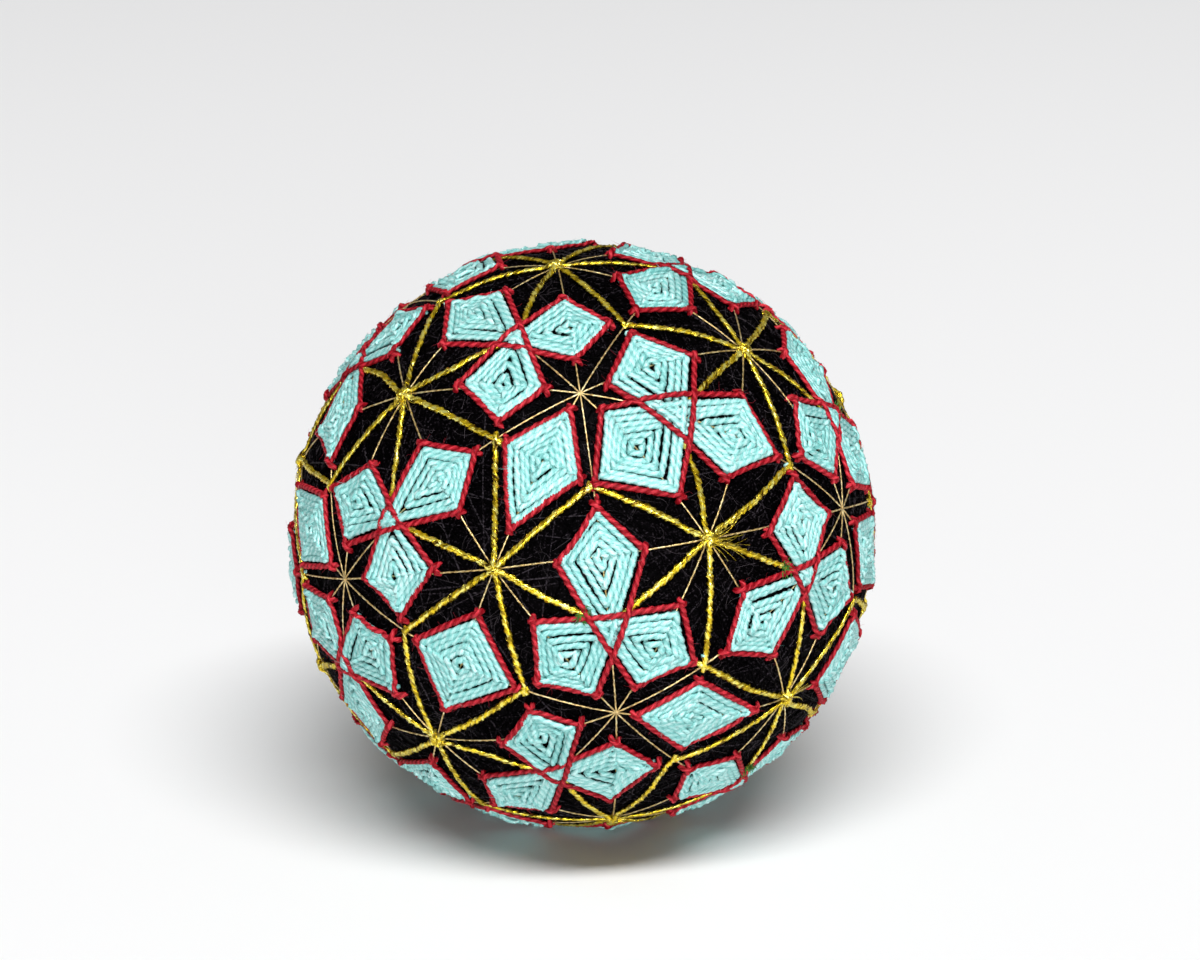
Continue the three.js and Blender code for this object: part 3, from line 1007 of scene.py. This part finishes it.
# %% [markdown]
# ## Set down on its flat spot
#
# A wound ball gives a little where it rests. Cutting it off at the floor would slice threads open, so
# the lowest threads are pressed instead: the ground rises softly over the flat spot, the work on it
# is squeezed into the room that is left, and nothing reaches below the floor.

# %% Press the bottom flat
FLAT_GROUND, FLAT_SOFT = 0.5, 0.25
THICKNESS = 0.95
FLAT_INNER, FLAT_OUTER = 10.0, 13.0
LOW_DOWN = -0.8
JUST_CLEAR = 0.002


def settled(p):
    """Moves points near the bottom so that the work lies flat on the floor."""
    p = p.copy()
    low_down = p[:, 2] < LOW_DOWN * BALL_RADIUS
    q = p[low_down]
    r = np.linalg.norm(q, axis=1)
    away = np.hypot(q[:, 0], q[:, 1])
    proud = r - BALL_RADIUS
    ground_z = CENTRE_HEIGHT - np.sqrt(np.maximum(BALL_RADIUS ** 2 - (away / r * BALL_RADIUS) ** 2, 0))
    soft = FLAT_GROUND + FLAT_SOFT * np.logaddexp(0, (ground_z - FLAT_GROUND) / FLAT_SOFT)
    room = np.minimum(soft, THICKNESS)
    z = soft - proud / THICKNESS * room
    weight = smooth_step((FLAT_OUTER - away) / (FLAT_OUTER - FLAT_INNER))
    q[:, 2] = (q[:, 2] + CENTRE_HEIGHT) * (1 - weight) + z * weight - CENTRE_HEIGHT
    q[:, 2] = np.maximum(q[:, 2], -CENTRE_HEIGHT + JUST_CLEAR)
    p[low_down] = q
    return p


lowest = settled(np.array([[0.0, 0.0, -BALL_RADIUS]]))[0, 2] + CENTRE_HEIGHT
print(f"the ground at the bottom now lies {lowest:.2f} mm above the floor")

# %% [markdown]
# ## Moves for a finish
#
# A finish is a small network of nodes, which could be wired by hand in the shader editor. Written in
# code, the same few moves come back for every thread: read the place along it, stretch a texture over
# it, spread tones over a value, raise a bump. So each move is a method of one small class.


# %% Wire nodes
def set_sockets(node, **values):
    for key, value in values.items():
        node.inputs[key.replace("_", " ")].default_value = value


class Finish:
    """A material, and the few moves that wire its nodes."""

    def __init__(self, name):
        self.material = bpy.data.materials.new(name)
        self.material.use_nodes = True
        self.nodes, self.links = self.material.node_tree.nodes, self.material.node_tree.links
        self.shader = self.nodes["Principled BSDF"]

    def math(self, operation, *values):
        n = self.nodes.new("ShaderNodeMath")
        n.operation = operation
        for value, socket in zip(values, n.inputs):
            if isinstance(value, (int, float)):
                socket.default_value = value
            else:
                self.links.new(value, socket)
        return n.outputs[0]

    def strand_tint(self):
        tint = self.nodes.new("ShaderNodeAttribute")
        tint.attribute_name = "tint"
        return tint.outputs["Fac"]

    def along_and_around(self):
        """How far along its thread a point lies, in mm, and how far round it, from 0 to 1."""
        uv = self.nodes.new("ShaderNodeUVMap")
        uv.uv_map = "along_thread"
        split = self.nodes.new("ShaderNodeSeparateXYZ")
        self.links.new(uv.outputs["UV"], split.inputs[0])
        return split.outputs["X"], split.outputs["Y"]

    def thread_texture(self, kind, places, scales):
        """A texture stretched along the thread, so that its grains run with the twist."""
        together = self.nodes.new("ShaderNodeCombineXYZ")
        for i in range(2):
            self.links.new(self.math("MULTIPLY", places[i], scales[i]), together.inputs[i])
        texture = self.nodes.new(kind)
        set_sockets(texture, Scale=1.0)
        self.links.new(together.outputs[0], texture.inputs["Vector"])
        return texture

    def tones(self, value, stops):
        """Colours the shader by a value, through a ramp of stops."""
        r = self.nodes.new("ShaderNodeValToRGB")
        for element, (position, colour) in zip(r.color_ramp.elements, (stops[0], stops[-1])):
            element.position, element.color = position, (*colour, 1)
        for position, colour in stops[1:-1]:
            r.color_ramp.elements.new(position).color = (*colour, 1)
        self.links.new(value, r.inputs["Fac"])
        self.links.new(r.outputs["Color"], self.shader.inputs["Base Color"])

    def bump(self, height, strength, distance):
        bump = self.nodes.new("ShaderNodeBump")
        set_sockets(bump, Strength=strength, Distance=distance)
        self.links.new(height, bump.inputs["Height"])
        self.links.new(bump.outputs["Normal"], self.shader.inputs["Normal"])

    def done(self, **values):
        set_sockets(self.shader, **values)
        return self.material


print("ready to wire finishes in Blender", bpy.app.version_string)

# %% [markdown]
# ## Pearl cotton
#
# Pearl cotton is mercerised: its long fibres lie together and gloss, so every ply catches a soft line
# of light, and the groove between plies lies in shade. One even colour with a low roughness would
# look like plastic. Here the tone follows three things: a painted highlight on the crown of each ply
# with painted shade in its groove, fine fibre streaks that run with the twist, and a small shift from
# strand to strand. The tones run from a painted shade through the dye to a painted highlight.

# %% Dye the pearl cotton and paint its light and shade
STREAK_SCALES, STREAK_DETAIL = (1.6, 26.0), 3
# the crown of each ply gets a painted highlight, and the groove between plies is left in painted shade
PAINTED_PLY_HIGHLIGHT, DARKER_OVERALL, STREAK_DEPTH, STRAND_SHIFT = 0.2, -0.04, 0.95, 0.035
COTTON_STOPS = (0.2, 0.5, 0.86)
COTTON_BUMP, COTTON_BUMP_HEIGHT = 0.35, 0.00008


def cotton(name, colour_with_painted_light, roughness, gloss):
    f = Finish(name)
    along, around = f.along_and_around()
    # 1 on the crown of a ply and 0 in its groove: where the painted highlight and the painted shade fall
    ply = f.math("COSINE", f.math("MULTIPLY", around, 4 * math.pi))
    painted_crown_light = f.math("MULTIPLY_ADD", ply, 0.5, 0.5)
    fibre = f.thread_texture("ShaderNodeTexNoise", (along, around), STREAK_SCALES)
    set_sockets(fibre, Detail=STREAK_DETAIL)
    streaks = f.math("MULTIPLY", fibre.outputs["Fac"], STREAK_DEPTH)
    shift = f.math("MULTIPLY", f.strand_tint(), STRAND_SHIFT)
    tone = f.math("MULTIPLY_ADD", painted_crown_light, PAINTED_PLY_HIGHLIGHT, DARKER_OVERALL)
    tone = f.math("ADD", f.math("ADD", tone, streaks), shift)
    # the tone picks a colour between a painted shade, the dye and a painted highlight
    f.tones(tone, list(zip(COTTON_STOPS, colour_with_painted_light)))
    f.bump(fibre.outputs["Fac"], COTTON_BUMP, COTTON_BUMP_HEIGHT)
    return f.done(Roughness=roughness, Specular_IOR_Level=gloss)


# each thread's tones: a painted shade, the dye itself, and a painted highlight, near white for the aqua
AQUA_DYE_WITH_PAINTED_LIGHT = ((0.045, 0.27, 0.26), (0.26, 0.65, 0.62), (0.78, 0.98, 0.97))
CRIMSON_DYE_WITH_PAINTED_LIGHT = ((0.006, 0.0001, 0.0002), (0.25, 0.0005, 0.006), (0.95, 0.07, 0.1))
AQUA = cotton("aqua pearl cotton", AQUA_DYE_WITH_PAINTED_LIGHT, roughness=0.34, gloss=0.75)
CRIMSON = cotton("crimson pearl cotton", CRIMSON_DYE_WITH_PAINTED_LIGHT, roughness=0.4, gloss=0.12)
print("dyed:", AQUA.name, "and", CRIMSON.name)

# %% [markdown]
# ## Metal thread
#
# The gold is a thin metal film wrapped over thread, and it breaks into small facets that each mirror
# another part of the room. A smooth metal would give one long highlight. Cells stretched along the
# thread give every facet its own slope and its own tone, a painted reflection that runs from dark brown
# to bright yellow, and the thread still shows through a little.

# %% Wrap the metal threads
FACET_SCALES, METAL_STOPS = (1.5, 7.0), (0.1, 0.5, 0.95)
FACET_BUMP, FACET_HEIGHT, METAL_SHARE = 0.8, 0.0001, 0.75


def metal_thread(name, colour_with_painted_light, roughness):
    f = Finish(name)
    facets = f.thread_texture("ShaderNodeTexVoronoi", f.along_and_around(), FACET_SCALES).outputs["Color"]
    # every facet's tone is a painted reflection of another part of the room
    f.tones(facets, list(zip(METAL_STOPS, colour_with_painted_light)))
    f.bump(facets, FACET_BUMP, FACET_HEIGHT)
    return f.done(Metallic=METAL_SHARE, Roughness=roughness)


# painted reflections of the metal: dark brown, gold and bright yellow
GOLD_WITH_PAINTED_REFLECTIONS = ((0.09, 0.045, 0.0005), (1.0, 0.72, 0.02), (1.0, 0.98, 0.3))
PALE_GOLD_WITH_PAINTED_REFLECTIONS = ((0.4, 0.25, 0.08), (1.0, 0.72, 0.3), (1.0, 0.94, 0.6))
GOLD = metal_thread("bright gold braid", GOLD_WITH_PAINTED_REFLECTIONS, roughness=0.22)
PALE_GOLD = metal_thread("pale gold marking thread", PALE_GOLD_WITH_PAINTED_REFLECTIONS, roughness=0.35)
print("wrapped:", GOLD.name, "and", PALE_GOLD.name)

# %% [markdown]
# ## Loose fibres
#
# Fibres are too fine for plies, and each catches the light differently. One colour would make a fog
# of them, so every fibre takes its own tone, darker or lighter than the next.

# %% Colour the loose fibres
FIBRE_SPREAD, FIBRE_DARK, FIBRE_LIGHT, FIBRE_GLOSS = 0.25, 0.45, 1.6, 0.3


def loose_fibre(name, colour, roughness):
    f = Finish(name)
    dark = [c * FIBRE_DARK for c in colour]
    light = [min(1, c * FIBRE_LIGHT) for c in colour]
    tone = f.math("MULTIPLY_ADD", f.strand_tint(), FIBRE_SPREAD, 0.5)
    f.tones(tone, [(0.0, dark), (0.5, colour), (1.0, light)])
    return f.done(Roughness=roughness, Specular_IOR_Level=FIBRE_GLOSS)


AQUA_FIBRE = loose_fibre("aqua fibre", (0.35, 0.72, 0.68), roughness=0.5)
CRIMSON_FIBRE = loose_fibre("crimson fibre", (0.4, 0.02, 0.04), roughness=0.5)
# the lint's grey is partly its own colour and partly a painted sheen on the black ground
GREY_LINT_WITH_PAINTED_SHEEN = loose_fibre("grey lint with painted sheen", (0.085, 0.07, 0.08), roughness=0.6)
GREEN_FIBRE = loose_fibre("green tacking thread", (0.05, 0.21, 0.03), roughness=0.5)
print("fibres:", [m.name for m in (AQUA_FIBRE, CRIMSON_FIBRE, GREY_LINT_WITH_PAINTED_SHEEN, GREEN_FIBRE)])

# %% [markdown]
# ## Black winding thread
#
# Black cotton is nearly matt, but it isn't one black: a very fine noise lifts it to grey here and
# there, and some turns carry a little painted highlight and others a little painted shade. A plain
# dark grey would flatten the ground. The noise, pushed up or down for each turn, leaves most of it
# deep black and a little of it grey.

# %% Dye the winding thread and paint light on its turns
# each turn is lifted or lowered at random: a painted highlight on some turns, painted shade on others
SPECK_SCALE, TURN_PAINTED_LIGHT = 4000, 0.12
BLACK_TONES = ((0.35, (0.0002, 0.0001, 0.0002)), (0.6, (0.001, 0.0006, 0.001)), (0.92, (0.05, 0.042, 0.05)))


def winding_finish():
    f = Finish("black winding thread")
    noise = f.nodes.new("ShaderNodeTexNoise")
    set_sockets(noise, Scale=SPECK_SCALE)
    f.links.new(f.nodes.new("ShaderNodeTexCoord").outputs["Object"], noise.inputs["Vector"])
    # the painted highlight or shade of each turn
    shift = f.math("MULTIPLY", f.strand_tint(), TURN_PAINTED_LIGHT)
    f.tones(f.math("ADD", noise.outputs["Fac"], shift), BLACK_TONES)
    return f.done(Roughness=0.45, Specular_IOR_Level=0.015)


BLACK = winding_finish()
print("dyed:", BLACK.name)

# %% [markdown]
# ## Put the pieces together
#
# Every skein becomes one mesh, pressed flat at the bottom, with its finish. The whole ball could be a
# single mesh, but then no motif could be picked out or changed. So each motif is two pieces, its aqua
# rounds and its crimson edge, and the rounds stand for the plain pad of the same name.


# %% Make the pieces
def piece(name, data, finish, stands_for=None):
    data.materials.append(finish)
    made = bpy.data.objects.new(name, data)
    bpy.context.scene.collection.objects.link(made)
    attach(made, "root")
    if stands_for:
        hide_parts(stands_for)
    return made


for node, aqua, crimson in stitched:
    stands_for = node if node in frame["nodes"] else None
    piece(node + "_rounds", aqua.mesh(node + "_rounds", settled), AQUA, stands_for)
    piece(node + "_edge", crimson.mesh(node + "_edge", settled), CRIMSON)
between_motifs = (
    ("gold_stars", gold, GOLD, "gold"),
    ("marking_threads", guide, PALE_GOLD, "marking"),
    ("ground_windings", ground, BLACK, "winding"),
    ("ground_lint", lint, GREY_LINT_WITH_PAINTED_SHEEN, "winding"),
    ("motif_fuzz", aqua_fuzz, AQUA_FIBRE, "motif"),
    ("edge_fuzz", crimson_fuzz, CRIMSON_FIBRE, "edge"),
    ("motif_specks", specks["aqua"], AQUA, "motif"),
    ("edge_specks", specks["crimson"], CRIMSON, "edge"),
    ("green_tufts", green, GREEN_FIBRE, "winding"),
    ("gold_frays", frayed, GOLD, "gold"),
)
for name, skein, finish, slot_name in between_motifs:
    piece(name, skein.mesh(name, settled), finish)
print("pieces:", 2 * len(stitched), "of the motifs and", len(between_motifs), "between them")

# %% [markdown]
# ## The ball under the windings
#
# Between the turns that are laid as threads, deeper layers of the same black thread close the gaps.
# They are never seen one by one, so a fine sphere just under the turns is enough for them. An
# icosphere has faces of one size all over, where a UV sphere crowds them at its poles, and it is
# pressed flat at the bottom like everything else.

# %% Make the wound ball
BALL_SUBDIVISIONS = 6
UNDER_THE_TURNS = 0.12

shell = bmesh.new()
bmesh.ops.create_icosphere(shell, subdivisions=BALL_SUBDIVISIONS, radius=1)
ball_data = bpy.data.meshes.new("wound_ball")
shell.to_mesh(ball_data)
shell.free()
co = np.empty(len(ball_data.vertices) * 3)
ball_data.vertices.foreach_get("co", co)
co = settled(co.reshape(-1, 3) * (BALL_RADIUS - UNDER_THE_TURNS))
ball_data.vertices.foreach_set("co", on_the_floor(co).ravel())
ball_data.polygons.foreach_set("use_smooth", np.ones(len(ball_data.polygons), bool))
ball_data.update()
piece("wound_ball", ball_data, BLACK, "ball")
print("wound ball faces:", len(ball_data.polygons))

# %% [markdown]
# ## Floor and light
#
# The ball stands on pale paper. One big soft lamp overhead would light it evenly and hide the relief
# of the stitches. So a wide high light drops a short shadow in front of the ball and brings out the
# gloss of the thread, a low one reaches under it, and dim surroundings keep the shadow deep.

# %% Set the stage
FLOOR_HALF = 6.0
FLOOR_CORNERS = ((-1, -1), (1, -1), (1, 1), (-1, 1))
PAPER = (0.92, 0.92, 0.925, 1)
AIM = (0, 0, 0.035)
SURROUNDINGS = 0.14

paper = Finish("pale paper").done(Roughness=0.95, Base_Color=PAPER, Specular_IOR_Level=0.1)
floor_data = bpy.data.meshes.new("floor")
floor_data.from_pydata([(x * FLOOR_HALF, y * FLOOR_HALF, 0) for x, y in FLOOR_CORNERS], [], [(0, 1, 2, 3)])
floor = bpy.data.objects.new("floor", floor_data)
floor.data.materials.append(paper)
bpy.context.scene.collection.objects.link(floor)


def soft_light(name, place, wide, high, watts):
    """An oval lamp at a place, turned to the ball."""
    lamp = bpy.data.lights.new(name, "AREA")
    lamp.shape, lamp.size, lamp.size_y, lamp.energy = "ELLIPSE", wide, high, watts
    made = bpy.data.objects.new(name, lamp)
    made.location = place
    made.rotation_euler = Vector(np.array(AIM) - np.array(place)).to_track_quat("-Z", "Y").to_euler()
    bpy.context.scene.collection.objects.link(made)


soft_light("high light", (0.2, -1.55, 3.0), wide=3.4, high=0.6, watts=124)
soft_light("low light", (0.5, -3.0, 0.3), wide=2.0, high=0.45, watts=50)
world = bpy.data.worlds.new("studio")
world.use_nodes = True
set_sockets(world.node_tree.nodes["Background"], Color=(1, 1, 1, 1), Strength=SURROUNDINGS)
bpy.context.scene.world = world
bpy.context.scene.view_settings.view_transform = "Standard"
print("lights:", [(lamp.name, lamp.energy) for lamp in bpy.data.lights])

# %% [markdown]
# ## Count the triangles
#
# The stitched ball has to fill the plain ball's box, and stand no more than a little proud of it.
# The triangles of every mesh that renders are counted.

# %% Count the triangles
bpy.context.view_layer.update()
triangles = sum(len(o.data.loops) - 2 * len(o.data.polygons)
                for o in bpy.data.objects if o.type == "MESH" and not o.hide_render)
print("triangles:", triangles)
